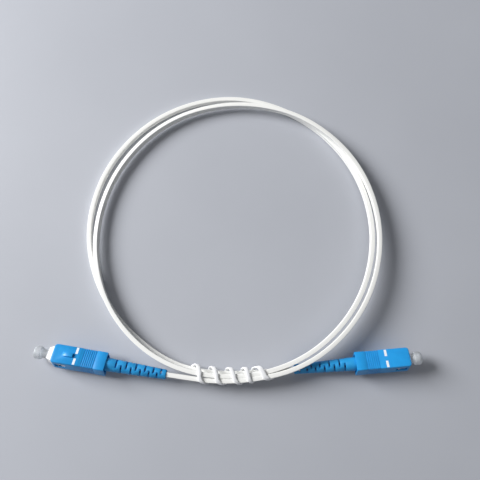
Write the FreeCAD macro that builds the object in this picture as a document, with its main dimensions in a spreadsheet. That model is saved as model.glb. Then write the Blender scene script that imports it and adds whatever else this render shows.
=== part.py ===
import FreeCAD, Part
import math
import os
import re
import Sketcher

from FreeCAD import Placement, Rotation, Vector

# A flat fibre drop cable in two loose turns, with a push-pull plug, slotted boot and dust cap
# at each end and a wire tie round the bundle. Millimetres; Z up, the table is Z = 0.
# Each plug has its own frame: X runs forward, X = 0 is the coupling sleeve's front when it is
# pushed forward, and Z points to the keyed face.
sizes = {
    # coupling sleeve
    "sleeve_length": 25.0,
    "nose_width": 9.0,
    "nose_height": 7.4,
    "collar_length": 4.4,
    "collar_lip": 0.1,
    "rim": 0.8,
    "rear_wall": 1.0,
    "corner_round": 1.4,
    "edge_chamfer": 0.4,
    "key_start": 4.8,
    "key_length": 4.8,
    "key_width": 2.0,
    "key_height": 1.0,
    "key_ramp": 1.4,
    "window_start": 1.6,
    "window_length": 5.3,
    "window_height": 3.2,
    "grip_start": 13.0,
    "grip_depth": 0.2,
    "rib_start": 14.2,
    "rib_pitch": 0.92,
    "rib_gap": 0.45,
    "rib_depth": 0.25,
    "cavity_spare": 0.1,
    "slide_gap": 0.05,
    "slide_travel": 2.2,
    # plug frame
    "frame_width": 7.3,
    "frame_height": 5.7,
    "frame_length": 20.1,
    "nose_reach": 0.2,
    "taper_length": 2.5,
    "taper_inset": 0.95,
    "taper_drop": 0.4,
    "mouth_depth": 3.5,
    "seat_wall": 1.0,
    "catch_start": 4.75,
    "catch_length": 0.9,
    "catch_height": 0.75,
    "catch_width": 2.6,
    "relief_length": 1.45,
    "relief_depth": 0.6,
    "pad_length": 2.4,
    "pad_height": 0.55,
    # ferrule, its flange and its spring
    "ferrule_diameter": 2.5,
    "ferrule_length": 10.5,
    "ferrule_reach": 4.4,
    "ferrule_chamfer": 0.35,
    "flange_diameter": 4.6,
    "flange_length": 1.75,
    "tail_diameter": 3.0,
    "tail_length": 7.4,
    "push_travel": 1.2,
    "bore_gap": 0.1,
    "press_gap": 0.01,
    "spring_length": 5.8,
    "spring_wire": 0.4,
    "spring_turns": 4,
    "spring_gap": 0.2,
    # stop ring and crimp
    "ring_flange": 5.6,
    "ring_thickness": 0.8,
    "post_diameter": 4.0,
    "post_length": 4.2,
    "crimp_diameter": 4.7,
    "crimp_length": 8.4,
    # boot
    "boot_length": 31.1,
    "boot_root": 6.0,
    "boot_tip": 4.5,
    "boot_straight": 4.0,
    "boot_gap": 0.2,
    "slot_start": 7.65,
    "slot_pitch": 4.85,
    "slot_step": 0.32,
    "slot_width": 0.8,
    "slot_web": 1.3,
    # dust cap
    "cap_diameter": 6.0,
    "cap_length": 3.6,
    "cap_round": 0.9,
    "neck_diameter": 4.1,
    "neck_reach": 2.0,
    "neck_depth": 2.0,
    "cap_gap": 0.02,
    "cap_room": 0.4,
    # cable and buffered fibre
    "cable_width": 2.0,
    "cable_height": 3.0,
    "cable_gap": 0.05,
    "boot_bore_gap": 0.15,
    "buffer_diameter": 0.9,
    "buffer_depth": 2.0,
    # wire tie
    "tie_width": 1.4,
    "tie_thickness": 0.7,
    "tie_gap": 0.3,
    "tie_turns": 5,
    # where the coil and the plugs lie
    "coil_radius": 70.0,
    "coil_x": 2.37,
    "coil_y": 0.8,
    "left_lead": 1.4,
    "left_boot_back": 2.0,
    "left_cap_out": 1.3,
    "right_lead": 3.8,
}

doc = FreeCAD.newDocument("fibre_drop_cable")
sheet = doc.addObject("Spreadsheet::Sheet", "Sizes")
for row, (name, size) in enumerate(sizes.items(), 1):
    sheet.set(f"A{row}", name)
    sheet.set(f"B{row}", str(size))
    sheet.setAlias(f"B{row}", name)
doc.recompute()

# Lengths along the plug, each measured back from the sleeve's front.
along = {
    "frame_rear": "(frame_length - nose_reach)",
    "seat": "(mouth_depth + seat_wall - nose_reach)",
    "ferrule_rear": "(ferrule_length - ferrule_reach - nose_reach)",
    "flange_rear": "(mouth_depth + seat_wall - nose_reach + cable_gap + flange_length)",
    "ring_front": "(mouth_depth + seat_wall - nose_reach + cable_gap + flange_length + spring_length)",
    "tail_rear": "(mouth_depth + seat_wall - nose_reach + cable_gap + flange_length + tail_length)",
    "ring_rear": "(frame_length - nose_reach + press_gap + ring_thickness)",
    "post_rear": "(frame_length - nose_reach + press_gap + ring_thickness + post_length)",
    "cable_end": "(frame_length - nose_reach + 2 * press_gap + ring_thickness + post_length + boot_gap)",
    "pad_front": "(catch_start + catch_length + relief_length - nose_reach)",
    "pad_rear": "(catch_start + catch_length + relief_length - nose_reach + pad_length)",
    "cavity_rear": "(frame_length - nose_reach + cavity_spare)",
    "boot_front": "(frame_length - nose_reach + cavity_spare + slide_travel + boot_gap)",
    "boot_rear": "(frame_length - nose_reach + cavity_spare + slide_travel + boot_gap + boot_length)",
}


def cell(text):
    for name, formula in along.items():
        text = re.sub(rf"\b{name}\b", formula, text)
    return re.sub(r"[a-z]\w*", lambda word: "Sizes." + word.group(), text)


def value(text):
    return float(sheet.evalExpression(cell(text)))


def new_body(label, place):
    body = doc.addObject("PartDesign::Body", label)
    body.Label = label
    body.Placement = place
    return body


def new_sketch(body, plane, name, lift, spin=0.0):
    sketch = body.newObject("Sketcher::SketchObject", name)
    support = next(item for item in body.Origin.OriginFeatures if item.Role == plane)
    sketch.AttachmentSupport = [(support, "")]
    sketch.MapMode = "FlatFace"
    sketch.AttachmentOffset = Placement(Vector(), Rotation(Vector(1, 0, 0), spin))
    if lift != "0":
        sketch.setExpression("AttachmentOffset.Base.z", cell(lift))
    return sketch


def hold(sketch, kind, axis, text, point, corner):
    if text == "0":
        sketch.addConstraint(Sketcher.Constraint("PointOnObject", corner, 1, axis))
        return
    index = sketch.addConstraint(Sketcher.Constraint(kind, -1, 1, corner, 1, point))
    sketch.setExpression(f"Constraints[{index}]", cell(text))


def trace(sketch, corners):
    first = sketch.GeometryCount
    points = [Vector(value(x), value(y), 0) for x, y in corners]
    count = len(points)
    for step in range(count):
        sketch.addGeometry(Part.LineSegment(points[step], points[(step + 1) % count]))
    for step in range(count):
        following = first + (step + 1) % count
        sketch.addConstraint(Sketcher.Constraint("Coincident", first + step, 2, following, 1))
    for step, (x, y) in enumerate(corners):
        hold(sketch, "DistanceX", -2, x, points[step].x, first + step)
        hold(sketch, "DistanceY", -1, y, points[step].y, first + step)


def ring(sketch, diameter):
    index = sketch.addGeometry(Part.Circle(Vector(), Vector(0, 0, 1), value(diameter) / 2))
    sketch.addConstraint(Sketcher.Constraint("Coincident", index, 3, -1, 1))
    limit = sketch.addConstraint(Sketcher.Constraint("Diameter", index, value(diameter)))
    sketch.setExpression(f"Constraints[{limit}]", cell(diameter))


def box(x0, x1, y0, y1):
    return [(x0, y0), (x1, y0), (x1, y1), (x0, y1)]


def middle_box(width, height):
    return box(f"-({width}) / 2", f"({width}) / 2", f"-({height}) / 2", f"({height}) / 2")


# A regular outline of so many flats, given its size across the corners.
def flats(count, diameter):
    bearings = [2 * math.pi * step / count for step in range(count)]
    return [(f"{math.cos(angle):.6f} * {diameter} / 2", f"{math.sin(angle):.6f} * {diameter} / 2")
            for angle in bearings]


# kind is Pad or Pocket; a pad runs along the sketch's normal and a pocket against it.
def prism(body, kind, name, plane, outlines, length, lift="0", sides="One side", turned=False, spin=0.0):
    sketch = new_sketch(body, plane, name + "_sketch", lift, spin)
    for outline in outlines:
        if isinstance(outline, str):
            ring(sketch, outline)
        else:
            trace(sketch, outline)
    feature = body.newObject("PartDesign::" + kind, name)
    feature.Profile = sketch
    feature.SideType = sides
    feature.Reversed = turned
    feature.setExpression("Length", cell(length))
    return feature


# kind is Revolution or Groove, about the plug's X axis.
def turn(body, kind, name, corners):
    sketch = new_sketch(body, "XY_Plane", name + "_sketch", "0")
    trace(sketch, corners)
    feature = body.newObject("PartDesign::" + kind, name)
    feature.Profile = sketch
    feature.ReferenceAxis = (sketch, ["H_Axis"])
    feature.Angle = 360.0
    return feature


def ease(body, kind, name, base, size, chosen):
    doc.recompute()
    edges = [f"Edge{count}" for count, edge in enumerate(base.Shape.Edges, 1) if chosen(edge)]
    feature = body.newObject("PartDesign::" + kind, name)
    feature.Base = (base, edges)
    feature.setExpression("Radius" if kind == "Fillet" else "Size", cell(size))
    return feature


def runs_along(edge, axis):
    ends = edge.Vertexes
    return len(ends) == 2 and (ends[1].Point - ends[0].Point).cross(axis).Length < 1e-6


def make_sleeve(label, place):
    body = new_body(label, place)
    prism(body, "Pad", "nose", "YZ_Plane", [middle_box("nose_width", "nose_height")],
          "sleeve_length", "-sleeve_length")
    shell = prism(body, "Pad", "collar", "YZ_Plane",
                  [middle_box("nose_width + 2 * collar_lip", "nose_height + 2 * collar_lip")],
                  "collar_length", "-sleeve_length")
    # The nose's plan corners are rounded and its long edges are broken.
    shell = ease(body, "Fillet", "nose_corners", shell, "corner_round",
                 lambda edge: edge.BoundBox.XMin > -1e-6 and runs_along(edge, Vector(0, 0, 1)))
    ease(body, "Chamfer", "long_edges", shell, "edge_chamfer",
         lambda edge: runs_along(edge, Vector(1, 0, 0)) and edge.Length > 1)
    prism(body, "Pad", "key", "XZ_Plane",
          [[("-key_start", "nose_height / 2 - slide_gap"),
            ("-key_start", "nose_height / 2 + key_height / 4"),
            ("-key_start - key_ramp", "nose_height / 2 + key_height"),
            ("-key_start - key_length", "nose_height / 2 + key_height"),
            ("-key_start - key_length", "nose_height / 2 - slide_gap")]],
          "key_width", sides="Symmetric")
    # The grip is cut back, with ribs left between its grooves.
    prism(body, "Pocket", "grip", "YZ_Plane",
          [middle_box("nose_width + 2 * collar_lip", "nose_height + 2 * collar_lip"),
           middle_box("nose_width - 2 * grip_depth", "nose_height - 2 * grip_depth")],
          "sleeve_length - collar_length - grip_start", "-grip_start")
    groove = prism(body, "Pocket", "rib_groove", "YZ_Plane",
                   [middle_box("nose_width + 2 * collar_lip", "nose_height + 2 * collar_lip"),
                    middle_box("nose_width - 2 * grip_depth - 2 * rib_depth",
                               "nose_height - 2 * grip_depth - 2 * rib_depth")],
                   "rib_gap", "-rib_start")
    row = body.newObject("PartDesign::LinearPattern", "rib_row")
    row.Originals = [groove]
    row.Direction = (next(item for item in body.Origin.OriginFeatures if item.Role == "X_Axis"), [""])
    row.Reversed = True
    row.Mode = "Spacing"
    row.setExpression("Offset", cell("rib_pitch"))
    row.Occurrences = 7
    body.Tip = row
    prism(body, "Pocket", "cavity", "YZ_Plane",
          [middle_box("frame_width + 2 * slide_gap", "frame_height + 2 * slide_gap")], "cavity_rear")
    prism(body, "Pocket", "rear_bore", "YZ_Plane", ["boot_root + 2 * boot_gap"],
          "sleeve_length - cavity_rear", "-sleeve_length", turned=True)
    prism(body, "Pocket", "rear_room", "YZ_Plane",
          [middle_box("nose_width + 2 * collar_lip - 2 * rim", "nose_height + 2 * collar_lip - 2 * rim")],
          "sleeve_length - cavity_rear - rear_wall", "-sleeve_length", turned=True)
    prism(body, "Pocket", "windows", "XZ_Plane",
          [box("-window_start - window_length", "-window_start", "-window_height / 2", "window_height / 2")],
          "2 * nose_width", sides="Symmetric")
    # The frame's side pads run in a shallow way behind each window.
    prism(body, "Pocket", "pad_ways", "XZ_Plane",
          [box("-pad_rear - slide_gap", "-window_start - window_length / 2",
               "-catch_width / 2 - slide_gap", "catch_width / 2 + slide_gap")],
          "frame_width + 2 * pad_height + 2 * slide_gap", sides="Symmetric")
    return body


def make_frame(label, place):
    body = new_body(label, place)
    prism(body, "Pad", "barrel", "YZ_Plane", [middle_box("frame_width", "frame_height")],
          "frame_length - taper_length", "-frame_rear")
    wide = new_sketch(body, "YZ_Plane", "taper_root", "nose_reach - taper_length")
    trace(wide, middle_box("frame_width", "frame_height"))
    narrow = new_sketch(body, "YZ_Plane", "taper_tip", "nose_reach")
    trace(narrow, middle_box("frame_width - 2 * taper_inset", "frame_height - 2 * taper_drop"))
    taper = body.newObject("PartDesign::AdditiveLoft", "taper")
    taper.Profile = wide
    taper.Sections = [(narrow, [""])]
    # A catch on each side stands in the sleeve's window, with a relief behind it for a latch hook
    # and then a pad that ends in a slope.
    catches = []
    reliefs = []
    for sign in ("", "-"):
        side = f"{sign}(frame_width / 2"
        front = "nose_reach - catch_start"
        back = f"{front} - catch_length"
        catches.append([(front, f"{side} - relief_depth)"), (front, f"{side})"),
                        (back, f"{side} + catch_height)"), (back, f"{side} - relief_depth)")])
        catches.append([("-pad_front", f"{side} - relief_depth)"), ("-pad_front", f"{side} + pad_height)"),
                        ("-pad_rear + pad_height", f"{side} + pad_height)"), ("-pad_rear", f"{side})"),
                        ("-pad_rear", f"{side} - relief_depth)")])
        reliefs.append(box(f"{back} - relief_length", back, f"{side} - relief_depth)",
                           f"{side} + catch_height)"))
    prism(body, "Pad", "catches", "XY_Plane", catches, "catch_width", sides="Symmetric")
    prism(body, "Pocket", "reliefs", "XY_Plane", reliefs, "window_height", sides="Symmetric")
    turn(body, "Groove", "bores", [
        ("nose_reach + slide_gap", "0"), ("nose_reach + slide_gap", "neck_diameter / 2 + bore_gap"),
        ("nose_reach - mouth_depth", "neck_diameter / 2 + bore_gap"),
        ("nose_reach - mouth_depth", "ferrule_diameter / 2 + bore_gap"),
        ("-seat", "ferrule_diameter / 2 + bore_gap"), ("-seat", "flange_diameter / 2 + bore_gap"),
        ("-frame_rear - slide_gap", "flange_diameter / 2 + bore_gap"), ("-frame_rear - slide_gap", "0")])
    return body


def make_ferrule(label, place):
    body = new_body(label, place)
    tip = "nose_reach + ferrule_reach"
    turn(body, "Revolution", "ferrule", [
        (tip, "0"), (tip, "ferrule_diameter / 2 - ferrule_chamfer"),
        (f"{tip} - 2 * ferrule_chamfer", "ferrule_diameter / 2"),
        ("-ferrule_rear", "ferrule_diameter / 2"), ("-ferrule_rear", "0")])
    return body


def make_flange(label, place):
    body = new_body(label, place)
    prism(body, "Pad", "head", "YZ_Plane", [flats(8, "flange_diameter")], "flange_length", "-flange_rear")
    prism(body, "Pad", "tail", "YZ_Plane", ["tail_diameter"], "tail_length", "-tail_rear")
    prism(body, "Pocket", "ferrule_socket", "YZ_Plane", ["ferrule_diameter + 2 * press_gap"],
          "flange_length + 2 * tail_length", "-seat")
    return body


def make_stop_ring(label, place):
    body = new_body(label, place)
    prism(body, "Pad", "plug", "YZ_Plane", ["flange_diameter + 2 * bore_gap - 2 * press_gap"],
          "frame_rear + press_gap - ring_front", "-frame_rear - press_gap")
    prism(body, "Pad", "flange", "YZ_Plane", [flats(8, "ring_flange")], "ring_thickness", "-ring_rear")
    prism(body, "Pad", "post", "YZ_Plane", ["post_diameter"], "post_length", "-post_rear")
    prism(body, "Pocket", "fibre_way", "YZ_Plane", ["tail_diameter + 2 * bore_gap"], "frame_length",
          "-ring_front")
    return body


def make_crimp(label, place):
    body = new_body(label, place)
    front = "-ring_rear - press_gap"
    bore = "post_diameter / 2 + press_gap"
    turn(body, "Revolution", "crimp_tube", [
        (front, "0"), (front, "crimp_diameter / 2"), (f"{front} - crimp_length", "crimp_diameter / 2"),
        (f"{front} - crimp_length", "0")])
    turn(body, "Groove", "post_socket", [
        (front + " + press_gap", "0"), (front + " + press_gap", bore), ("-post_rear - press_gap", bore),
        ("-post_rear - press_gap", "0")])
    prism(body, "Pocket", "cable_socket", "YZ_Plane",
          [middle_box("cable_width + 2 * cable_gap", "cable_height + 2 * cable_gap")], "2 * crimp_length",
          front)
    return body


def make_boot(label, place):
    body = new_body(label, place)
    prism(body, "Pad", "root", "YZ_Plane", [flats(12, "boot_root")], "boot_straight",
          "-boot_front - boot_straight")
    wide = new_sketch(body, "YZ_Plane", "sheath_root", "-boot_front - boot_straight")
    trace(wide, flats(12, "boot_root"))
    narrow = new_sketch(body, "YZ_Plane", "sheath_tip", "-boot_rear")
    trace(narrow, flats(12, "boot_tip"))
    sheath = body.newObject("PartDesign::AdditiveLoft", "sheath")
    sheath.Profile = wide
    sheath.Sections = [(narrow, [""])]
    turn(body, "Groove", "crimp_socket", [
        ("-boot_front + boot_gap", "0"), ("-boot_front + boot_gap", "crimp_diameter / 2 + cable_gap"),
        ("-ring_rear - crimp_length - boot_gap", "crimp_diameter / 2 + cable_gap"),
        ("-ring_rear - crimp_length - boot_gap", "0")])
    prism(body, "Pocket", "cable_way", "YZ_Plane",
          [middle_box("cable_width + 2 * boot_bore_gap", "cable_height + 2 * boot_bore_gap")],
          "2 * boot_length", "-boot_front")
    # Slots in opposite pairs, each pair square to the one before, closer towards the cable.
    for name, spin, first, count in (("slots", 135.0, 0.0, 6), ("cross_slots", 45.0, 0.5, 5)):
        outlines = []
        for step in range(count):
            place_on_row = step + first
            middle = (f"-boot_front - slot_start - {place_on_row} * slot_pitch"
                      f" + {place_on_row * (place_on_row - 1) / 2} * slot_step")
            for near, far in (("slot_web", "boot_root"), ("-boot_root", "-slot_web")):
                outlines.append(box(f"{middle} - slot_width / 2", f"{middle} + slot_width / 2", near, far))
        prism(body, "Pocket", name, "XY_Plane", outlines, "2 * boot_root", sides="Symmetric", spin=spin)
    return body


def make_cap(label, place):
    body = new_body(label, place)
    grip = "nose_reach + neck_reach"
    tip = f"{grip} + cap_length"
    bore = "ferrule_diameter / 2 + cap_gap"
    room = "nose_reach + ferrule_reach + cap_room"
    turn(body, "Revolution", "cap", [
        (tip, "0"), (tip, "cap_diameter / 2 - cap_round"), (f"{tip} - cap_round", "cap_diameter / 2"),
        (grip, "cap_diameter / 2"), (grip, "neck_diameter / 2"),
        ("nose_reach - neck_depth", "neck_diameter / 2"), ("nose_reach - neck_depth", bore), (room, bore),
        (room, "0")])
    return body


def make_fibre(label, place):
    body = new_body(label, place)
    turn(body, "Revolution", "buffer", [
        ("-ferrule_rear - press_gap", "0"), ("-ferrule_rear - press_gap", "buffer_diameter / 2"),
        ("-cable_end - buffer_depth", "buffer_diameter / 2"), ("-cable_end - buffer_depth", "0")])
    return body


# The section's second axis stays in the plane of the path and upward.
def sweep(path, section, upward):
    start = path.Edges[0].valueAt(path.Edges[0].FirstParameter)
    heading = path.Edges[0].tangentAt(path.Edges[0].FirstParameter)
    across = heading.cross(upward).normalize()
    up = across.cross(heading)
    corners = [start + across * x + up * y for x, y in section]
    shell = Part.BRepOffsetAPI.MakePipeShell(path)
    shell.setBiNormalMode(upward)
    shell.add(Part.makePolygon(corners + corners[:1]))
    shell.build()
    shell.makeSolid()
    return shell.shape()


def oblong(width, height):
    x, y = width / 2, height / 2
    return [(-x, -y), (x, -y), (x, y), (-x, y)]


# Flat wire through the given points: each section spans the wire's thickness on either side of its
# point along the outward direction, and its width along the winding's axis.
def wind(points, outwards, axis, thickness, width):
    sections = []
    for point, outward in zip(points, outwards):
        out = outward * (thickness / 2)
        over = axis * (width / 2)
        sections.append([point - out - over, point + out - over, point + out + over, point - out + over])
    outlines = [sections[0], sections[-1]]
    for this, following in zip(sections, sections[1:]):
        outlines.append([this[1], this[2], following[2], following[1]])
        outlines.append([this[3], this[0], following[0], following[3]])
        for a, b in ((0, 1), (2, 3)):
            outlines.append([this[a], this[b], following[b]])
            outlines.append([this[a], following[b], following[a]])
    faces = [Part.Face(Part.makePolygon(outline + outline[:1])) for outline in outlines]
    solid = Part.Solid(Part.Shell(faces))
    if solid.Volume < 0:
        solid.reverse()
    return solid


# A square-wire spring between the ferrule's flange and the stop ring, in ten runs a turn.
def make_spring(label, place):
    wire = value("spring_wire")
    radius = value("tail_diameter / 2 + spring_gap + spring_wire / 2")
    low = value("-ring_front + press_gap + spring_wire / 2")
    high = value("-flange_rear - press_gap - spring_wire / 2")
    steps = int(10 * value("spring_turns"))
    outwards = [Vector(0, math.cos(math.radians(36 * step)), math.sin(math.radians(36 * step)))
                for step in range(steps + 1)]
    points = [outward * radius + Vector(low + (high - low) * step / steps, 0, 0)
              for step, outward in enumerate(outwards)]
    spring = doc.addObject("Part::Feature", label)
    spring.Label = label
    spring.Shape = wind(points, outwards, Vector(1, 0, 0), wire, wire)
    spring.Placement = place
    return spring


# Rest height of a plug rolled onto the edge of its collar.
def roll_height(roll):
    half_width = value("nose_width / 2 + collar_lip")
    half_height = value("nose_height / 2 + collar_lip")
    lean = math.radians(roll)
    flat = value("edge_chamfer")
    return max((half_width - flat) * math.sin(lean) + half_height * math.cos(lean),
               half_width * math.sin(lean) + (half_height - flat) * math.cos(lean))


# The left plug lies key up with its sleeve pulled back and its cap eased out. The right plug lies key
# down with its sleeve forward and its nose raised by the boot, which the coil presses down. Their
# places are in coil radii.
left_yaw, left_roll = 170.45, 22.0
right_yaw, right_roll, right_pitch = 5.0, 20.0, 2.0
centre = Vector(value("coil_x"), value("coil_y"), 0)
coil = value("coil_radius")
left_turn = Rotation(Vector(0, 0, 1), left_yaw)
right_turn = Rotation(Vector(0, 0, 1), right_yaw).multiply(Rotation(Vector(0, 1, 0), -right_pitch))
left_lift = roll_height(left_roll)
right_lift = (roll_height(right_roll) * math.cos(math.radians(right_pitch))
              + value("sleeve_length") * math.sin(math.radians(right_pitch)))
ends = {
    "left": {
        "upright": Placement(centre + Vector(-1.2186 * coil, -0.8314 * coil, left_lift), left_turn),
        "roll": left_roll,
        "sleeve_back": value("slide_travel"),
        "boot_back": value("left_boot_back"),
        "cap_out": value("left_cap_out"),
    },
    "right": {
        "upright": Placement(centre + Vector(1.1707 * coil, -0.8614 * coil, right_lift), right_turn),
        "roll": 180.0 - right_roll,
        "sleeve_back": 0.0,
        "boot_back": 0.0,
        "cap_out": 0.0,
    },
}


def moved(place, x):
    return place.multiply(Placement(Vector(x, 0, 0), Rotation()))


nodes = []
for side, end in ends.items():
    upright = end["upright"]
    rolled = upright.multiply(Placement(Vector(), Rotation(Vector(1, 0, 0), end["roll"])))
    nodes += [
        make_sleeve(f"{side}_coupling_sleeve", moved(rolled, -end["sleeve_back"])),
        make_frame(f"{side}_plug_frame", rolled),
        make_ferrule(f"{side}_ferrule", rolled),
        make_flange(f"{side}_ferrule_flange", rolled),
        make_spring(f"{side}_ferrule_spring", rolled),
        make_stop_ring(f"{side}_stop_ring", rolled),
        make_crimp(f"{side}_crimp_tube", upright),
        make_boot(f"{side}_boot", moved(upright, -end["boot_back"])),
        make_cap(f"{side}_dust_cap", moved(rolled, end["cap_out"])),
        make_fibre(f"{side}_fibre", rolled),
    ]


# Straight runs joined by tangent arcs, each arc taking 0.45 of the shorter run beside it.
def rounded_path(points):
    edges = []
    radii = []
    start = points[0]
    for before, corner, after in zip(points, points[1:], points[2:]):
        back = before - corner
        ahead = after - corner
        half = (math.pi - back.getAngle(ahead)) / 2
        reach = 0.45 * min(back.Length, ahead.Length)
        radius = reach / math.tan(half)
        radii.append(radius)
        enter = corner + back.normalize() * reach
        leave = corner + ahead.normalize() * reach
        inward = (back + ahead).normalize()
        crown = corner + inward * (radius / math.cos(half) - radius)
        edges.append(Part.makeLine(start, enter))
        edges.append(Part.Arc(enter, crown, leave).toShape())
        start = leave
    edges.append(Part.makeLine(start, points[-1]))
    return Part.Wire(edges), radii


# The coil, every 30 degrees: how far the strand's middle line lies outside the coil's radius, and its
# height, both in widths of the cable. An arc passes inside its corner by the factor on the radius.
corner_factor = 0.9665
first_turn = [(0.45, 4.2), (0.5, 4.3), (0.4, 3.9), (0.2, 3.3), (-0.1, 2.6), (0.0, 2.45),
              (0.55, 2.25), (0.6, 1.2), (0.2, 2.25), (-0.25, 2.45), (-0.5, 2.7), (-0.85, 3.2)]
second_turn = [(-1.0, 3.7), (-1.25, 4.0), (-1.25, 3.1), (-0.8, 1.5), (-0.05, 0.8), (-0.35, 0.75),
               (-1.05, 0.75), (-1.35, 0.75), (-1.15, 0.75), (-0.8, 0.75), (-1.0, 1.0)]


def beside_coil(widths):
    return coil + widths * value("cable_width")


def at_bearing(bearing, radius, height):
    angle = math.radians(bearing)
    return centre + Vector(radius * math.cos(angle), radius * math.sin(angle), height)


def on_axis(side, x):
    return ends[side]["upright"].multVec(Vector(x, 0, 0))


width = value("cable_width")
route = [on_axis("left", -value("cable_end")), on_axis("left", -value("boot_rear + left_lead")),
         at_bearing(270, beside_coil(1.3), 3.1 * width)]
for count, (outside, height) in enumerate(first_turn + second_turn):
    route.append(at_bearing(300 + 30 * count, beside_coil(outside) / corner_factor, height * width))
route += [at_bearing(262, beside_coil(0.75), 1.3 * width), on_axis("right", -value("boot_rear + right_lead")),
          on_axis("right", -value("cable_end"))]

path, radii = rounded_path(route)
print("cable bend radii", [round(radius) for radius in radii])
solid = sweep(path, oblong(value("cable_width"), value("cable_height")), Vector(0, 0, 1))
print("cable length", round(path.Length, 1), "volume", round(solid.Volume, 1), "section x length",
      round(value("cable_width * cable_height") * path.Length, 1))
for side in ends:
    # The buffered fibre slides into the jacket's end.
    mouth = ends[side]["upright"].multiply(
        Placement(Vector(1 - value("cable_end"), 0, 0), Rotation(Vector(0, 1, 0), -90)))
    depth = value("1 + buffer_depth + 2 * push_travel")
    way = Part.makeCylinder(value("buffer_diameter / 2 + bore_gap"), depth)
    way.Placement = mouth
    solid = solid.cut(way)
cable = doc.addObject("Part::Feature", "drop_cable")
cable.Label = "drop_cable"
cable.Shape = solid
nodes.append(cable)

# The tie: a flat covered wire wound round the bundle. Each end of it lists its bearing, how far the
# bundle's near and far sides lie outside the coil's radius, and its underside and top, in widths of
# the cable; a turn has eight runs, with its corners cut.
leans = [(-1.0, 0.41), (-0.41, 1.0), (0.41, 1.0), (1.0, 0.41), (1.0, -0.41), (0.41, -1.0), (-0.41, -1.0),
         (-1.0, -0.41)]
tie_start = (254.5, -1.25, 1.55, 0.525, 3.675)
tie_finish = (285.0, -1.5, 0.925, 1.05, 4.425)
reach = value("tie_gap + tie_thickness / 2")
cut = reach
steps = int(8 * value("tie_turns"))
points = []
outwards = []
for step in range(steps + 1):
    share = step / steps
    bearing, near, far, low, high = [a + (b - a) * share for a, b in zip(tie_start, tie_finish)]
    near = beside_coil(near) - reach
    far = beside_coil(far) + reach
    low = low * width - reach
    high = high * width + reach
    corners = [(near, high - cut), (near + cut, high), (far - cut, high), (far, high - cut),
               (far, low + cut), (far - cut, low), (near + cut, low), (near, low + cut)]
    radius, height = corners[step % 8]
    points.append(at_bearing(bearing, radius, height))
    outwards.append(at_bearing(bearing, *leans[step % 8]) - at_bearing(bearing, 0, 0))
tie = doc.addObject("Part::Feature", "twist_tie")
tie.Label = "twist_tie"
tie.Shape = wind(points, outwards, Vector(1, 0, 0), value("tie_thickness"), value("tie_width"))
nodes.append(tie)

doc.recompute()
os.makedirs("parts", exist_ok=True)
for item in doc.Objects:
    if "Invalid" in item.State or "Error" in item.State:
        raise RuntimeError(f"{item.Label}: {item.State}")
for node in nodes:
    if node.Shape.isNull() or not node.Shape.isValid() or len(node.Shape.Solids) != 1:
        raise RuntimeError(f"{node.Label}: bad solid")
    node.Shape.exportStep(f"parts/{node.Label}.step")
    print(node.Label, round(node.Shape.Volume, 2), node.Shape.BoundBox)
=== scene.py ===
import math

import bmesh
import bpy
from mathutils import Matrix, Vector


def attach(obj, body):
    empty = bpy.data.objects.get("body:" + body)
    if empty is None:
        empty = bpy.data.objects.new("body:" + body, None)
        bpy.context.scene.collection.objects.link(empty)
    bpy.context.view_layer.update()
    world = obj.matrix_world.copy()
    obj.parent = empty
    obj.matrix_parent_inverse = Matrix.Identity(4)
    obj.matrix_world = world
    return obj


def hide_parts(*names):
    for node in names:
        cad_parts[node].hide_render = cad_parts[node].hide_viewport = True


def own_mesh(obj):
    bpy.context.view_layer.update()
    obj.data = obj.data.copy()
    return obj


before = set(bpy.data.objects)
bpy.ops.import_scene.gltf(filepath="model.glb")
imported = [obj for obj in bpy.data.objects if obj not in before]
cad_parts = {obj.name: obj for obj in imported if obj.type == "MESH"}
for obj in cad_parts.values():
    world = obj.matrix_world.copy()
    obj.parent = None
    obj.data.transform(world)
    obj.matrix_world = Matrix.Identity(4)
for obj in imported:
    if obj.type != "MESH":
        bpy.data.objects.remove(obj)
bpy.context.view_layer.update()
mm = 0.001
print("frame:", len(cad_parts), "nodes")

# camera at the photograph's angle, in millimetres
cameraSetup = {"target": (5.92, -1.7, 0.0), "elevation": 78.0, "distance": 270.0, "lens": 40.7,
               "sensor": 36.0, "nearest": 10.0}


def makeCamera(setup):
    camera = bpy.data.objects.new("camera", bpy.data.cameras.new("camera"))
    bpy.context.collection.objects.link(camera)
    rise = math.radians(setup["elevation"])
    away = Vector((0.0, -math.cos(rise), math.sin(rise)))
    camera.location = (Vector(setup["target"]) + away * setup["distance"]) * mm
    camera.rotation_euler = (math.pi / 2 - rise, 0.0, 0.0)
    camera.data.lens = setup["lens"]
    camera.data.sensor_width = setup["sensor"]
    camera.data.clip_start = setup["nearest"] * mm
    bpy.context.scene.camera = camera


makeCamera(cameraSetup)

# the plugs lie where the frame has them: origin at the sleeve's front, x forward, z to the keyed face
plugSetup = {
    "left": {"at": (-82.932, -57.398, 5.09665), "yaw": 170.45, "pitch": 0.0, "roll": 22.0,
             "sleeveBack": 2.2, "bootBack": 2.0, "capBack": -1.3},
    "right": {"at": (84.319, -59.498, 5.87676), "yaw": 5.0, "pitch": 2.0, "roll": 160.0,
              "sleeveBack": 0.0, "bootBack": 0.0, "capBack": 0.0},
}


def plugPlace(side, rolled=True, back=0.0):
    plug = plugSetup[side]
    place = Matrix.Translation(Vector(plug["at"]) * mm)
    place = place @ Matrix.Rotation(math.radians(plug["yaw"]), 4, "Z")
    place = place @ Matrix.Rotation(math.radians(-plug["pitch"]), 4, "Y")
    if rolled:
        place = place @ Matrix.Rotation(math.radians(plug["roll"]), 4, "X")
    return place @ Matrix.Translation(Vector((-back * mm, 0.0, 0.0)))


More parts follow.
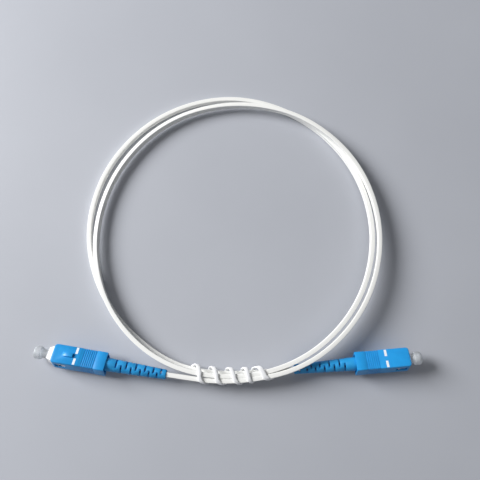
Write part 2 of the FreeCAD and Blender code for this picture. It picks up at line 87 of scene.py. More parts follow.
# meshes are drawn in millimetres and shrunk to metres when they are finished
def newPiece(name, points, faces):
    mesh = bpy.data.meshes.new(name)
    mesh.from_pydata([tuple(point) for point in points], [], faces)
    fixer = bmesh.new()
    fixer.from_mesh(mesh)
    bmesh.ops.recalc_face_normals(fixer, faces=fixer.faces)
    fixer.to_mesh(mesh)
    fixer.free()
    piece = bpy.data.objects.new(name, mesh)
    bpy.context.collection.objects.link(piece)
    return piece


def loftRings(name, rings, closed=False):
    size = len(rings[0])
    points = [point for ring in rings for point in ring]
    faces = []
    count = len(rings)
    for step in range(count if closed else count - 1):
        here, there = step * size, (step + 1) % count * size
        for spot in range(size):
            after = (spot + 1) % size
            faces.append((here + spot, here + after, there + after, there + spot))
    if not closed:
        faces.append(tuple(reversed(range(size))))
        faces.append(tuple(range((count - 1) * size, count * size)))
    return newPiece(name, points, faces)


def roundedRing(x, halfWide, halfHigh, corner, steps=4):
    ring = []
    for y, z, start in ((1, 1, 0), (-1, 1, 90), (-1, -1, 180), (1, -1, 270)):
        for step in range(steps + 1):
            angle = math.radians(start + 90 * step / steps)
            ring.append((x, y * (halfWide - corner) + corner * math.cos(angle),
                         z * (halfHigh - corner) + corner * math.sin(angle)))
    return ring


def roundRing(x, radius, sides):
    turn = 2 * math.pi / sides
    return [(x, radius * math.cos(turn * side), radius * math.sin(turn * side)) for side in range(sides)]


def block(x0, x1, y0, y1, z0, z1):
    points = [(x, y, z) for x in (x0, x1) for y in (y0, y1) for z in (z0, z1)]
    faces = [(0, 1, 3, 2), (4, 6, 7, 5), (0, 4, 5, 1), (2, 3, 7, 6), (0, 2, 6, 4), (1, 5, 7, 3)]
    return newPiece("block", points, faces)


# an outline in x and y drawn out along z, or with its y and z exchanged
def prism(outline, halfDeep, upright=False):
    points = [(x, depth, y) if upright else (x, y, depth)
              for depth in (-halfDeep, halfDeep) for x, y in outline]
    count = len(outline)
    faces = [tuple(range(count)), tuple(range(2 * count - 1, count - 1, -1))]
    faces += [(step, (step + 1) % count, count + (step + 1) % count, count + step) for step in range(count)]
    return newPiece("prism", points, faces)


def rod(x0, x1, radius, sides=48):
    return loftRings("rod", [roundRing(x0, radius, sides), roundRing(x1, radius, sides)])


def settle(piece):
    bpy.context.view_layer.update()
    made = bpy.data.meshes.new_from_object(piece.evaluated_get(bpy.context.evaluated_depsgraph_get()))
    made.name = piece.name
    piece.modifiers.clear()
    piece.data = made


def carve(piece, tool, how="DIFFERENCE"):
    cut = piece.modifiers.new("carve", "BOOLEAN")
    cut.operation = how
    cut.solver = "EXACT"
    cut.object = tool
    settle(piece)
    bpy.data.objects.remove(tool)


def easeEdges(piece, width, segments=2, angle=40.0):
    ease = piece.modifiers.new("ease", "BEVEL")
    ease.width = width
    ease.segments = segments
    ease.limit_method = "ANGLE"
    ease.angle_limit = math.radians(angle)
    ease.use_clamp_overlap = True
    settle(piece)


def finishShape(piece, place, smoothAngle=35.0):
    piece.data.transform(place @ Matrix.Scale(mm, 4))
    piece.data.shade_smooth()
    piece.data.set_sharp_from_angle(angle=math.radians(smoothAngle))


# a screen colour, 0 to 255, as the linear colour that a shader takes
def linear(red, green, blue):
    return tuple((part / 255 / 12.92) if part < 10.3 else ((part / 255 + 0.055) / 1.055) ** 2.4
                 for part in (red, green, blue)) + (1.0,)


# shared by all finishes: how fine the noise is, the part of its range in use, and relief where none is given
noiseSetup = {"mottleDetail": 4.0, "grainDetail": 3.0, "low": 0.3, "high": 0.7, "relief": 0.3, "depth": 0.02}


def newFinish(name, setup):
    finish = bpy.data.materials.new(name)
    finish.use_nodes = True
    tree = finish.node_tree
    shader = tree.nodes["Principled BSDF"]
    for socket, amount in setup.get("sockets", {}).items():
        shader.inputs[socket].default_value = amount
    where = tree.nodes.new("ShaderNodeTexCoord")
    stretch = tree.nodes.new("ShaderNodeMapping")
    stretch.inputs["Scale"].default_value = setup.get("stretch", (1.0, 1.0, 1.0))
    tree.links.new(where.outputs["UV" if setup.get("alongUv") else "Object"], stretch.inputs["Vector"])
    mottle = tree.nodes.new("ShaderNodeTexNoise")
    mottle.inputs["Scale"].default_value = setup["mottle"]
    mottle.inputs["Detail"].default_value = noiseSetup["mottleDetail"]
    grain = tree.nodes.new("ShaderNodeTexNoise")
    grain.inputs["Scale"].default_value = setup["grain"]
    grain.inputs["Detail"].default_value = noiseSetup["grainDetail"]
    for noise in (mottle, grain):
        tree.links.new(stretch.outputs["Vector"], noise.inputs["Vector"])
    tint = tree.nodes.new("ShaderNodeValToRGB")
    tint.color_ramp.elements[0].position = noiseSetup["low"]
    tint.color_ramp.elements[1].position = noiseSetup["high"]
    tint.color_ramp.elements[0].color = linear(*setup["dark"])
    tint.color_ramp.elements[1].color = linear(*setup["light"])
    tree.links.new(mottle.outputs["Fac"], tint.inputs["Fac"])
    tree.links.new(tint.outputs["Color"], shader.inputs["Base Color"])
    sheen = tree.nodes.new("ShaderNodeMapRange")
    sheen.inputs["From Min"].default_value = noiseSetup["low"]
    sheen.inputs["From Max"].default_value = noiseSetup["high"]
    sheen.inputs["To Min"].default_value = setup["rough"][0]
    sheen.inputs["To Max"].default_value = setup["rough"][1]
    tree.links.new(grain.outputs["Fac"], sheen.inputs["Value"])
    tree.links.new(sheen.outputs["Result"], shader.inputs["Roughness"])
    relief = tree.nodes.new("ShaderNodeBump")
    relief.inputs["Strength"].default_value = setup.get("relief", noiseSetup["relief"])
    relief.inputs["Distance"].default_value = setup.get("depth", noiseSetup["depth"]) * mm
    tree.links.new(grain.outputs["Fac"], relief.inputs["Height"])
    tree.links.new(relief.outputs["Normal"], shader.inputs["Normal"])
    return finish


finishSetup = {
    "bluePlastic": {"dark": (16, 143, 213), "light": (24, 153, 223), "mottle": 260.0, "grain": 5200.0,
                    "rough": (0.30, 0.42), "sockets": {"IOR": 1.5}},
    "blueBoot": {"dark": (20, 140, 204), "light": (28, 152, 216), "mottle": 320.0, "grain": 3600.0,
                 "rough": (0.42, 0.58), "sockets": {"IOR": 1.5}},
    "whitePlastic": {"dark": (241, 242, 243), "light": (247, 247, 247), "mottle": 300.0, "grain": 4800.0,
                     "rough": (0.32, 0.42), "sockets": {"IOR": 1.5}},
    "markPaint": {"dark": (236, 241, 246), "light": (242, 246, 250), "mottle": 1800.0, "grain": 6000.0,
                  "rough": (0.45, 0.6), "depth": 0.03, "sockets": {"IOR": 1.5}},
    "clearPlastic": {"dark": (228, 232, 236), "light": (236, 239, 242), "mottle": 420.0, "grain": 3200.0,
                     "rough": (0.26, 0.36), "relief": 0.12,
                     "sockets": {"IOR": 1.49, "Transmission Weight": 0.65}},
    "zirconia": {"dark": (238, 238, 234), "light": (246, 246, 243), "mottle": 500.0, "grain": 9000.0,
                 "rough": (0.10, 0.18), "depth": 0.005, "sockets": {"IOR": 2.0}},
    "nickelSilver": {"dark": (176, 174, 166), "light": (192, 190, 182), "mottle": 700.0, "grain": 7000.0,
                     "rough": (0.24, 0.36), "depth": 0.01, "sockets": {"Metallic": 1.0}},
    "springSteel": {"dark": (150, 150, 152), "light": (172, 172, 174), "mottle": 900.0, "grain": 8000.0,
                    "rough": (0.22, 0.34), "depth": 0.01, "sockets": {"Metallic": 1.0}},
    "brassTube": {"dark": (186, 158, 96), "light": (202, 174, 110), "mottle": 600.0, "grain": 6000.0,
                  "rough": (0.24, 0.36), "depth": 0.01, "sockets": {"Metallic": 1.0}},
    # painted shade: dark navy for the shadowed inside of the boot's slots
    "bootPaintedShade": {"dark": (8, 30, 66), "light": (12, 40, 84), "mottle": 700.0, "grain": 4200.0,
                   "rough": (0.55, 0.7), "sockets": {"IOR": 1.5}},
    "bufferPlastic": {"dark": (236, 234, 226), "light": (244, 242, 236), "mottle": 600.0, "grain": 6000.0,
                      "rough": (0.4, 0.5), "sockets": {"IOR": 1.5}},
    "cableJacket": {"dark": (245, 245, 242), "light": (250, 250, 247), "mottle": 60.0, "grain": 2600.0,
                    "stretch": (0.06, 1.0, 1.0), "alongUv": True, "rough": (0.38, 0.52), "relief": 0.35,
                    "depth": 0.02, "sockets": {"IOR": 1.5}},
    "tieCover": {"dark": (244, 245, 248), "light": (250, 251, 252), "mottle": 900.0, "grain": 3600.0,
                 "rough": (0.26, 0.4), "depth": 0.03, "sockets": {"IOR": 1.5}},
}
finishes = {name: newFinish(name, setup) for name, setup in finishSetup.items()}
print("finishes:", len(finishes))


def wear(piece, finish):
    piece.data.materials.clear()
    piece.data.materials.append(finishes[finish])


# cable: a flat jacket with a tear notch along both wide sides
cableSetup = {
    "coilMiddle": (2.37, 0.8),
    "coilRadius": 70.0,
    "width": 2.0,  # nominal, and the unit of the two turns
    "jacket": (2.1, 3.0, 0.25),  # as drawn: width, height, corner
    "cornerSteps": 4,
    "notch": (0.2, 0.22),  # half width, depth
    "uvStep": 0.0004,
    "cornerFactor": 0.9665,  # a smooth line cuts its corners, so its points lie further out
    "firstBearing": 300,
    "bearingStep": 30,
    # at each bearing from there on: outside the coil's radius and height, in cable widths
    "firstTurn": [(0.68, 4.2), (0.67, 4.25), (0.62, 3.4), (0.57, 2.75), (-0.36, 2.9), (-1.08, 1.75),
                  (-1.5, 1.5), (-2.0, 1.55), (-1.68, 1.75), (-0.62, 2.6), (-0.24, 2.8), (-1.0, 3.2)],
    "secondTurn": [(-1.0, 3.7), (-1.08, 3.95), (-1.02, 2.9), (-0.52, 1.45), (0.1, 0.8), (1.08, 0.85),
                   (1.13, 0.85), (0.88, 0.85), (0.56, 0.78), (-0.5, 0.76), (-1.39, 1.0)],
    "atTie": ((270, 0.83, 3.1), (262, -0.82, 1.3)),  # bearing, outside the radius, height
    # along each plug's axis, from the plug's front
    "leftRun": (-25.12, -41.5, -54.9),
    "rightRun": (-57.3, -41.5, -25.12),
    # bearing counted on through both turns, and how far the jacket leans outward there
    "leans": [(440, 0), (480, 14), (540, 14), (565, 0)],
}


def onAxis(side, x):
    return plugPlace(side, rolled=False) @ Vector((x * mm, 0.0, 0.0))


def atBearing(setup, bearing, widths, high, factor=1.0):
    angle = math.radians(bearing)
    radius = (setup["coilRadius"] + widths * setup["width"]) / factor
    return Vector((setup["coilMiddle"][0] + radius * math.cos(angle),
                   setup["coilMiddle"][1] + radius * math.sin(angle), high * setup["width"])) * mm


def cableRoute(setup):
    points = [onAxis("left", x) for x in setup["leftRun"]]
    points.append(atBearing(setup, *setup["atTie"][0]))
    for step, (widths, high) in enumerate(setup["firstTurn"] + setup["secondTurn"]):
        bearing = setup["firstBearing"] + setup["bearingStep"] * step
        points.append(atBearing(setup, bearing, widths, high, setup["cornerFactor"]))
    points.append(atBearing(setup, *setup["atTie"][1]))
    return points + [onAxis("right", x) for x in setup["rightRun"]]


def smoothLine(points, resolution=14):
    curve = bpy.data.curves.new("route", "CURVE")
    curve.dimensions = "3D"
    curve.resolution_u = resolution
    spline = curve.splines.new("NURBS")
    spline.points.add(len(points) - 1)
    for knot, point in zip(spline.points, points):
        knot.co = (*point, 1.0)
    spline.order_u = 3
    spline.use_endpoint_u = True
    holder = bpy.data.objects.new("route", curve)
    bpy.context.collection.objects.link(holder)
    bpy.context.view_layer.update()
    line = bpy.data.meshes.new_from_object(holder)
    path = [vertex.co.copy() for vertex in line.vertices]
    bpy.data.objects.remove(holder)
    bpy.data.curves.remove(curve)
    bpy.data.meshes.remove(line)
    return path


def jacketSection(setup):
    wide, high, corner = setup["jacket"]
    halfWide, halfHigh = wide / 2, high / 2
    halfNotch, deep = setup["notch"]
    section = []
    for x, y, start in ((1, 1, 0), (-1, 1, 90), (-1, -1, 180), (1, -1, 270)):
        for step in range(setup["cornerSteps"] + 1):
            angle = math.radians(start + 90 * step / setup["cornerSteps"])
            section.append((x * (halfWide - corner) + corner * math.cos(angle),
                            y * (halfHigh - corner) + corner * math.sin(angle)))
        if start in (90, 270):
            side = halfWide * x
            section += [(side, halfNotch * y), (side - deep * x, 0.0), (side, -halfNotch * y)]
    return section


# the value at a place in a table of places and values
def between(table, at, eased=True):
    for (low, first), (high, last) in zip(table, table[1:]):
        if low <= at <= high:
            share = (at - low) / (high - low)
            if eased:
                share = share * share * (3 - 2 * share)
            return first + (last - first) * share
    return table[0][1] if at < table[0][0] else table[-1][1]


def makeCable(setup):
    path = smoothLine(cableRoute(setup))
    section = jacketSection(setup)
    middle = Vector((*setup["coilMiddle"], 0.0)) * mm
    rings = []
    lengths = [0.0]
    bearing = None
    for step, point in enumerate(path):
        ahead = path[min(step + 1, len(path) - 1)] - path[max(step - 1, 0)]
        ahead.normalize()
        outward = ahead.cross(Vector((0, 0, 1))).normalized()
        upward = outward.cross(ahead)
        spoke = point - middle
        here = math.degrees(math.atan2(spoke.y, spoke.x)) % 360
        if bearing is not None:
            while here < bearing - 180:
                here += 360
            lengths.append(lengths[-1] + (point - path[step - 1]).length)
        bearing = here
        lean = math.radians(between(setup["leans"], bearing))
        across = outward * math.cos(lean) - upward * math.sin(lean)
        over = upward * math.cos(lean) + outward * math.sin(lean)
        rings.append([(point + (across * x + over * y) * mm) / mm for x, y in section])
    cable = loftRings("cableJacket", rings)
    wrap = cable.data.uv_layers.new(name="along")
    size = len(section)
    for face in cable.data.polygons:
        for corner in face.loop_indices:
            vertex = cable.data.loops[corner].vertex_index
            wrap.data[corner].uv = (lengths[vertex // size], vertex % size * setup["uvStep"])
    finishShape(cable, Matrix.Identity(4), smoothAngle=50.0)
    wear(cable, "cableJacket")
    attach(cable, "cable")
    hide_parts("drop_cable")
    print("cable:", round(lengths[-1], 4), "m")
    return cable, path


cable, cablePath = makeCable(cableSetup)

# coupling sleeve: measured back from its front, ribs and collar at the rear
sleeveSetup = {
    "long": 25.0, "halfWide": 4.5, "halfHigh": 3.7, "corner": 0.45,
    "frontRound": 1.4, "frontEdge": 0.3, "roundSteps": 6,
    "gripFrom": 13.0, "gripDeep": 0.04,
    "ribs": 7, "ribFrom": 14.2, "ribPitch": 0.92, "ribGap": 0.36, "ribDeep": 0.18,
    "collarFrom": 20.6, "collarLip": 0.0,
    "cavity": (3.7, 2.9, 20.0),  # half width, half height, depth
    "rearBore": 3.2, "boreOverlap": 0.5,
    "rearRoom": (3.8, 3.0, 21.0),  # half width, half height, start
    "window": (1.6, 6.9, 1.6), "windowReach": 9.0,  # start, end, half height
    "padWay": (9.35, 4.25, 1.35),  # end, half width, half height
    "key": (4.8, 9.6, 1.0, 1.0, 1.4), "keySink": 0.3,  # start, end, half width, height, ramp
    "keyPit": (9.62, 10.3, 0.6, 0.7),  # start, end, half width, depth
    "mark": {"middle": 10.9, "long": 1.1, "from": 1.1, "to": 4.15, "proud": 0.025, "sink": 0.05},
    "ease": 0.09, "past": 1.0,  # past: how far a cutter goes beyond what it cuts
}


def sleeveRings(setup):
    wide, high, corner = setup["halfWide"], setup["halfHigh"], setup["corner"]
    turn, edge = setup["frontRound"], setup["frontEdge"]
    rings = []
    for step in range(setup["roundSteps"] + 1):
        angle = math.radians(90 - 90 * step / setup["roundSteps"])
        back = turn * (1 - math.sin(angle))
        over = min(back / edge, 1.0)
        drop = edge * (1 - math.sqrt(1 - (1 - over) ** 2))
        rings.append(roundedRing(-back, wide - turn + turn * math.cos(angle), high - drop, corner))
    levels = [(setup["gripFrom"], 0.0, -setup["gripDeep"])]
    low = -setup["gripDeep"] - setup["ribDeep"]
    for rib in range(setup["ribs"]):
        start = setup["ribFrom"] + rib * setup["ribPitch"]
        levels += [(start, -setup["gripDeep"], low), (start + setup["ribGap"], low, -setup["gripDeep"])]
    levels.append((setup["collarFrom"], -setup["gripDeep"], setup["collarLip"]))
    for back, before, after in levels:
        for grow in (before, after):
            rings.append(roundedRing(-back, wide + grow, high + grow, corner))
    lip = setup["collarLip"]
    rings.append(roundedRing(-setup["long"], wide + lip, high + lip, corner))
    return rings


def makeSleeve(side, setup):
    sleeve = loftRings(side + "Sleeve", sleeveRings(setup))
    past = setup["past"]
    rear = -setup["long"] - past
    start, end, halfWide, high, ramp = setup["key"]
    top = setup["halfHigh"]
    root = top - setup["keySink"]
    key = prism([(-start, root), (-start, top + high / 4), (-start - ramp, top + high),
                 (-end, top + high), (-end, root)], halfWide, upright=True)
    carve(sleeve, key, "UNION")
    start, end, halfWide, deep = setup["keyPit"]
    carve(sleeve, block(-end, -start, -halfWide, halfWide, top - deep, top + past))
    halfWide, halfHigh, deep = setup["cavity"]
    carve(sleeve, block(-deep, past, -halfWide, halfWide, -halfHigh, halfHigh))
    carve(sleeve, rod(rear, -deep + setup["boreOverlap"], setup["rearBore"]))
    halfWide, halfHigh, start = setup["rearRoom"]
    carve(sleeve, block(rear, -start, -halfWide, halfWide, -halfHigh, halfHigh))
    start, end, halfHigh = setup["window"]
    reach = setup["windowReach"]
    carve(sleeve, block(-end, -start, -reach, reach, -halfHigh, halfHigh))
    back, halfWide, halfHigh = setup["padWay"]
    carve(sleeve, block(-back, -end + past, -halfWide, halfWide, -halfHigh, halfHigh))
    easeEdges(sleeve, setup["ease"])
    place = plugPlace(side, back=plugSetup[side]["sleeveBack"])
    finishShape(sleeve, place)
    wear(sleeve, "bluePlastic")
    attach(sleeve, side + "_sleeve")
    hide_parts(side + "_coupling_sleeve")
    return sleeve


# two short white marks across each broad face
def makeMarks(side, setup):
    mark = setup["mark"]
    top = setup["halfHigh"]
    rear, front = -mark["middle"] - mark["long"] / 2, -mark["middle"] + mark["long"] / 2
    plates = []
    for face in (1, -1):
        low, high = sorted((face * (top - mark["sink"]), face * (top + mark["proud"])))
        for edge in (1, -1):
            near, far = sorted((edge * mark["from"], edge * mark["to"]))
            plates.append(block(rear, front, near, far, low, high))
    marks = plates[0]
    for plate in plates[1:]:
        carve(marks, plate, "UNION")
    marks.name = side + "Marks"
    finishShape(marks, plugPlace(side, back=plugSetup[side]["sleeveBack"]))
    wear(marks, "markPaint")
    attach(marks, side + "_sleeve")
    return marks


# plug frame: measured back from the sleeve's front, tapered nose, a catch in each window
frameSetup = {
    "reach": 0.2, "rear": 19.9, "halfWide": 3.65, "halfHigh": 2.85, "corner": 0.35,
    "taper": (2.5, 0.95, 0.4),  # length, inset of the sides, drop of the top
    "mouth": (2.15, 3.3), "guide": (1.35, 4.3), "guideOverlap": 0.2,  # radius, depth
    "barrel": 2.4,
    "catch": (4.55, 5.45, 0.75), "pad": (6.9, 9.3, 0.55),  # front, back, height
    "halfCatch": 1.3, "catchSink": 0.5,
    "relief": (0.6, 1.6),  # depth, half height
    "ease": 0.1, "past": 1.0,
}


def makeFrame(side, setup):
    wide, high, corner = setup["halfWide"], setup["halfHigh"], setup["corner"]
    taper, inset, drop = setup["taper"]
    body = loftRings(side + "Frame", [
        roundedRing(setup["reach"], wide - inset, high - drop, corner),
        roundedRing(setup["reach"] - taper, wide, high, corner),
        roundedRing(-setup["rear"], wide, high, corner)])
    front, back, tall = setup["catch"]
    padFront, padBack, padTall = setup["pad"]
    deep, reliefHigh = setup["relief"]
    past = setup["past"]
    root = wide - setup["catchSink"]
    catch = [(-front, root), (-front, wide), (-back, wide + tall), (-back, root)]
    pad = [(-padFront, root), (-padFront, wide + padTall), (-padBack + padTall, wide + padTall),
           (-padBack, wide), (-padBack, root)]
    for way in (1, -1):
        for outline in (catch, pad):
            carve(body, prism([(x, way * y) for x, y in outline], setup["halfCatch"]), "UNION")
        near, far = sorted((way * (wide - deep), way * (wide + past)))
        carve(body, block(-padFront, -back, near, far, -reliefHigh, reliefHigh))
    mouthRadius, mouthDeep = setup["mouth"]
    guideRadius, guideDeep = setup["guide"]
    carve(body, rod(-mouthDeep, setup["reach"] + past, mouthRadius))
    carve(body, rod(-guideDeep - setup["guideOverlap"], 0.0, guideRadius))
    carve(body, rod(-setup["rear"] - past, -guideDeep, setup["barrel"]))
    easeEdges(body, setup["ease"])
    finishShape(body, plugPlace(side))
    wear(body, "whitePlastic")
    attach(body, "cable")
    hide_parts(side + "_plug_frame")
    return body


# boot: measured back from the sleeve's front, slots in crossed pairs that close up towards the cable
bootSetup = {
    "front": 22.4, "long": 31.1, "root": 3.1, "tip": 2.25, "straight": 4.0, "taperSteps": 8,
    "edge": 0.35, "edgeSteps": 3,
    "crimpBore": (2.4, 29.3),  # radius, end
    "cableWay": (1.15, 1.65), "wayOverlap": 0.5,  # half width, half height
    "slots": {"start": 7.65, "pitch": 4.85, "step": 0.32, "width": 0.8, "web": 1.3, "reach": 6.0,
              "rows": ((135.0, 0.0, 6), (45.0, 0.5, 5))},  # turn round the boot, first place, slots
    # painted shade tube inside the boot: a dark sheet where there is only shade
    "paintedShadeTube": (29.5, 50.8, 0.04, 0.1),  # start, end, slack, wall
    "ease": 0.12, "sides": 56, "past": 1.0,
}


# dark tube hugging the jacket inside the boot, painted shade: a dark sheet that stands in for the shadowed
# inside seen through the slots
def makeBootShadeTube(side, setup):
    front, rear, slack, wall = setup["paintedShadeTube"]
    wide, high, corner = cableSetup["jacket"]
    halfWide, halfHigh = wide / 2 + slack, high / 2 + slack
    paintedShadeTube = loftRings(side + "BootPaintedShade", [
        roundedRing(-front, halfWide + wall, halfHigh + wall, corner),
        roundedRing(-rear, halfWide + wall, halfHigh + wall, corner),
        roundedRing(-rear, halfWide, halfHigh, corner),
        roundedRing(-front, halfWide, halfHigh, corner)], closed=True)
    finishShape(paintedShadeTube, plugPlace(side, rolled=False, back=plugSetup[side]["bootBack"]))
    wear(paintedShadeTube, "bootPaintedShade")
    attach(paintedShadeTube, "cable")
    return paintedShadeTube


def makeBoot(side, setup):
    front, long, edge = setup["front"], setup["long"], setup["edge"]
    root, tip, straight = setup["root"], setup["tip"], setup["straight"]
    rounding = []
    for step in range(setup["edgeSteps"] + 1):
        angle = math.radians(90 * step / setup["edgeSteps"])
        rounding.append((edge * (1 - math.sin(angle)), edge * (1 - math.cos(angle))))
    outline = [(back, root - drop) for back, drop in reversed(rounding)] + [(straight, root)]
    for step in range(setup["taperSteps"]):
        share = (step + 1) / setup["taperSteps"]
        outline.append((straight + (long - edge - straight) * share, root + (tip - root) * share))
    outline += [(long - back, tip - drop) for back, drop in rounding[1:]]
    boot = loftRings(side + "Boot", [roundRing(-front - x, radius, setup["sides"]) for x, radius in outline])
    slots = setup["slots"]
    reach, half = slots["reach"], slots["width"] / 2
    for spin, first, count in slots["rows"]:
        for step in range(count):
            row = step + first
            middle = -front - slots["start"] - row * slots["pitch"] + row * (row - 1) / 2 * slots["step"]
            for low, high in ((slots["web"], reach), (-reach, -slots["web"])):
                tool = block(middle - half, middle + half, low, high, -reach, reach)
                tool.data.transform(Matrix.Rotation(math.radians(spin), 4, "X"))
                carve(boot, tool)
    radius, rear = setup["crimpBore"]
    carve(boot, rod(-rear, -front + setup["past"], radius))
    halfWide, halfHigh = setup["cableWay"]
    carve(boot, block(-front - long - setup["past"], -rear + setup["wayOverlap"],
                      -halfWide, halfWide, -halfHigh, halfHigh))
    easeEdges(boot, setup["ease"])
    finishShape(boot, plugPlace(side, rolled=False, back=plugSetup[side]["bootBack"]))
    wear(boot, "blueBoot")
    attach(boot, "cable")
    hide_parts(side + "_boot")
    return boot


# dust cap: turned outline as (ahead of the sleeve's front, radius)
capSetup = {
    "outline": [(5.8, 0.0), (5.8, 1.7), (5.72, 2.2), (5.5, 2.6), (5.2, 2.86), (4.85, 3.0),
                (2.6, 2.94), (2.4, 2.88), (2.26, 2.72), (2.2, 2.5), (2.14, 2.25), (1.98, 2.08),
                (-1.5, 2.02), (-1.72, 1.96), (-1.8, 1.82), (-1.8, 1.42), (-1.7, 1.29),
                (4.7, 1.27), (4.95, 1.1), (5.0, 0.8), (5.0, 0.0)],
    "sides": 56,
}


def makeCap(side, setup):
    sides = setup["sides"]
    outline = setup["outline"]
    points = [(outline[0][0], 0.0, 0.0)]
    for x, radius in outline[1:-1]:
        points += roundRing(x, radius, sides)
    points.append((outline[-1][0], 0.0, 0.0))
    last = len(points) - 1
    faces = []
    for step in range(len(outline) - 3):
        here, there = 1 + step * sides, 1 + (step + 1) * sides
        faces += [(here + spot, here + (spot + 1) % sides, there + (spot + 1) % sides, there + spot)
                  for spot in range(sides)]
    faces += [(0, 1 + (spot + 1) % sides, 1 + spot) for spot in range(sides)]
    inner = last - sides
    faces += [(last, inner + spot, inner + (spot + 1) % sides) for spot in range(sides)]
    cap = newPiece(side + "Cap", points, faces)
    finishShape(cap, plugPlace(side, back=plugSetup[side]["capBack"]), smoothAngle=50.0)
    wear(cap, "clearPlastic")
    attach(cap, side + "_cap")
    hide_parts(side + "_dust_cap")
    return cap


# ferrule spring: wound between the flange and the stop ring
springSetup = {"wire": 0.4, "turns": 4, "stepsPerTurn": 24, "sides": 10, "travel": 1.2}


def makeSpring(side, setup):
    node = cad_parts[side + "_ferrule_spring"]
    place = plugPlace(side)
    intoPlug = Matrix.Scale(1 / mm, 4) @ place.inverted() @ node.matrix_world
    spots = [intoPlug @ vertex.co for vertex in node.data.vertices]
    rear = min(spot.x for spot in spots)
    front = max(spot.x for spot in spots)
    half = setup["wire"] / 2
    radius = max(math.hypot(spot.y, spot.z) for spot in spots) - half
    steps = setup["turns"] * setup["stepsPerTurn"]
    rings = []
    for step in range(steps + 1):
        angle = 2 * math.pi * step / setup["stepsPerTurn"]
        middle = rear + half + (front - rear - setup["wire"]) * step / steps
        ring = []
        for spot in range(setup["sides"]):
            turn = 2 * math.pi * spot / setup["sides"]
            out = radius + half * math.cos(turn)
            ring.append((middle + half * math.sin(turn), out * math.cos(angle), out * math.sin(angle)))
        rings.append(ring)
    spring = loftRings(side + "Spring", rings)
    finishShape(spring, place, smoothAngle=60.0)
    wear(spring, "springSteel")
    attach(spring, "cable")
    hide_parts(node.name)
    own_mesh(spring)
    return spring


# the other pieces inside a plug keep their shape and get a better finish
innerFinishes = {"ferrule": "zirconia", "ferrule_flange": "nickelSilver", "stop_ring": "nickelSilver",
                 "crimp_tube": "brassTube", "fibre": "bufferPlastic"}
for side in ("left", "right"):
    made = [makeSleeve(side, sleeveSetup), makeMarks(side, sleeveSetup), makeFrame(side, frameSetup),
            makeBoot(side, bootSetup), makeBootShadeTube(side, bootSetup), makeCap(side, capSetup),
            makeSpring(side, springSetup)]
    for name, finish in innerFinishes.items():
        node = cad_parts[side + "_" + name]
        node.data.materials.clear()
        node.data.materials.append(finishes[finish])
        made.append(node)
    print(side, "plug:", len(made), "pieces")

# wire tie: five turns round the bundle, each standing off in a small arch on the coil's inner side
tieSetup = {
    "wide": 1.85, "thick": 0.8, "gap": 0.42, "square": 3.4, "steps": 64, "sides": 16,
    "fullness": (0.8, 0.9),  # below 1 fills out the covered wire's section
    # by bearing, in cable widths: near and far side outside the coil's radius, underside and top
    "bundle": [(254, -1.78, 1.36, 0.45, 3.75), (262, -2.03, 0.86, 0.59, 3.84), (270, -2.13, 0.6, 0.74, 3.97),
               (278, -1.98, 0.52, 0.92, 4.18), (286, -1.56, 0.66, 1.08, 4.4)],
    # turns wound, counted from the inner side, and the bearing reached there
    "windings": [(-0.12, 253.6), (-0.02, 254.3), (0.11, 255.9), (0.52, 260.4), (0.98, 260.9), (1.11, 262.4),
                 (1.52, 267.0), (1.98, 267.8), (2.11, 269.3), (2.52, 273.4), (2.98, 274.2), (3.11, 275.5),
                 (3.52, 277.6), (3.98, 278.6), (4.11, 280.8), (4.52, 284.7), (4.62, 285.4)],
    "arch": (34.0, 44.0, 1.25, 0.4),  # middle and spread round the bundle, stand-off, lift
    "flatEnd": [(4.0, 1.0), (4.3, 1.2), (4.55, 1.2), (4.62, 0.9)],  # turns wound, widening
}


def tiePoint(setup, turns):
    angle = (turns % 1.0) * 360
    bearing = between(setup["windings"], turns, eased=False)
    near, far, low, high = [between([(row[0], row[side]) for row in setup["bundle"]], bearing, eased=False)
                            for side in (1, 2, 3, 4)]
    width = cableSetup["width"]
    near = cableSetup["coilRadius"] + near * width - setup["gap"]
    far = cableSetup["coilRadius"] + far * width + setup["gap"]
    low = low * width - setup["gap"]
    high = high * width + setup["gap"]
    power = 2 / setup["square"]
    side, rise = math.cos(math.radians(angle)), math.sin(math.radians(angle))
    radius = (near + far) / 2 - (far - near) / 2 * math.copysign(abs(side) ** power, side)
    height = (low + high) / 2 + (high - low) / 2 * math.copysign(abs(rise) ** power, rise)
    middle, spread, out, lift = setup["arch"]
    swell = math.exp(-(((angle - middle + 180) % 360 - 180) / spread) ** 2)
    turn = math.radians(bearing)
    radius -= out * swell
    return Vector((cableSetup["coilMiddle"][0] + radius * math.cos(turn),
                   cableSetup["coilMiddle"][1] + radius * math.sin(turn), height + lift * swell))


def makeTie(setup):
    first, last = setup["windings"][0][0], setup["windings"][-1][0]
    count = round((last - first) * setup["steps"])
    wound = [first + (last - first) * step / count for step in range(count + 1)]
    path = [tiePoint(setup, turns) for turns in wound]
    rings = []
    hub = Vector((*cableSetup["coilMiddle"], 0.0))
    for step, point in enumerate(path):
        ahead = (path[min(step + 1, count)] - path[max(step - 1, 0)]).normalized()
        spoke = point - hub
        axis = Vector((-spoke.y, spoke.x, 0.0)).normalized()
        outward = ahead.cross(axis).normalized()
        across = outward.cross(ahead)
        wider = between(setup["flatEnd"], wound[step])
        fullWide, fullThick = setup["fullness"]
        ring = []
        for spot in range(setup["sides"]):
            turn = math.radians(360 / setup["sides"] * spot)
            x = math.copysign(abs(math.cos(turn)) ** fullWide, math.cos(turn)) * setup["wide"] / 2 * wider
            y = math.copysign(abs(math.sin(turn)) ** fullThick, math.sin(turn)) * setup["thick"] / 2 / wider
            ring.append(point + across * x + outward * y)
        rings.append(ring)
    tie = loftRings("wireTie", rings)
    finishShape(tie, Matrix.Identity(4), smoothAngle=60.0)
    wear(tie, "tieCover")
    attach(tie, "cable")
    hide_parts("twist_tie")
    print("tie:", round(last - first, 1), "turns")


makeTie(tieSetup)

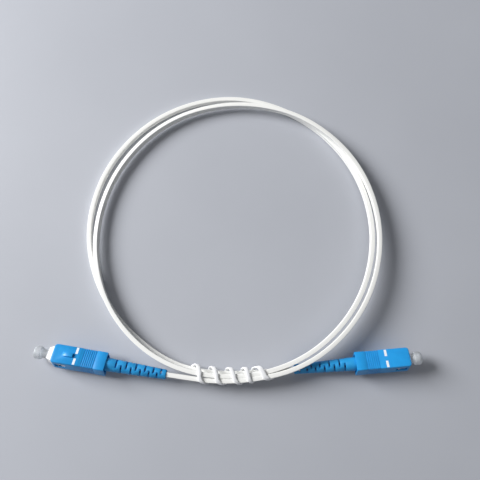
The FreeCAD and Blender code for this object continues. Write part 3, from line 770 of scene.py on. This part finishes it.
# plain pale table and soft light from the upper left
stageSetup = {
    "floor": 6.0, "floorDrop": 0.00002,
    "paper": {"dark": (180, 183, 191), "light": (184, 187, 195), "mottle": 14.0, "grain": 900.0,
              "rough": (0.55, 0.7), "depth": 0.02, "relief": 0.15},
    "keyPlace": (-1.062, 0.429, 0.715), "keySize": 0.74, "keyPower": 27.0,
    "fillPlace": (0.25, -0.5, 1.1), "fillSize": 1.2, "fillPower": 1.0,
    "ambient": 0.12, "ambientColour": (0.95, 0.97, 1.0, 1.0), "background": (222, 224, 228),
}


def makeLamp(name, place, size, power):
    lamp = bpy.data.lights.new(name, "AREA")
    lamp.shape = "DISK"
    lamp.size = size
    lamp.energy = power
    holder = bpy.data.objects.new(name, lamp)
    bpy.context.collection.objects.link(holder)
    holder.location = place
    holder.rotation_euler = (-Vector(place)).to_track_quat("-Z", "Y").to_euler()


def makeStage(setup):
    half = setup["floor"] / 2 / mm
    corners = [(-half, -half, 0), (half, -half, 0), (half, half, 0), (-half, half, 0)]
    floor = newPiece("floor", corners, [(0, 1, 2, 3)])
    finishShape(floor, Matrix.Translation((0, 0, -setup["floorDrop"])))
    floor.data.materials.append(newFinish("floorPaper", setup["paper"]))
    makeLamp("key", setup["keyPlace"], setup["keySize"], setup["keyPower"])
    makeLamp("fill", setup["fillPlace"], setup["fillSize"], setup["fillPower"])
    world = bpy.data.worlds.new("studio")
    world.use_nodes = True
    bpy.context.scene.world = world
    tree = world.node_tree
    surround = tree.nodes["Background"]
    surround.inputs["Color"].default_value = setup["ambientColour"]
    surround.inputs["Strength"].default_value = setup["ambient"]
    seen = tree.nodes.new("ShaderNodeBackground")
    seen.inputs["Color"].default_value = linear(*setup["background"])
    ray = tree.nodes.new("ShaderNodeLightPath")
    pick = tree.nodes.new("ShaderNodeMixShader")
    seenBy = ray.outputs["Is Camera Ray"]
    for kind in ("Is Glossy Ray", "Is Transmission Ray"):
        either = tree.nodes.new("ShaderNodeMath")
        either.operation = "MAXIMUM"
        tree.links.new(seenBy, either.inputs[0])
        tree.links.new(ray.outputs[kind], either.inputs[1])
        seenBy = either.outputs["Value"]
    tree.links.new(seenBy, pick.inputs["Fac"])
    tree.links.new(surround.outputs["Background"], pick.inputs[1])
    tree.links.new(seen.outputs["Background"], pick.inputs[2])
    tree.links.new(pick.outputs["Shader"], tree.nodes["World Output"].inputs["Surface"])


makeStage(stageSetup)
bpy.context.scene.view_settings.view_transform = "Standard"
print("stage ready")
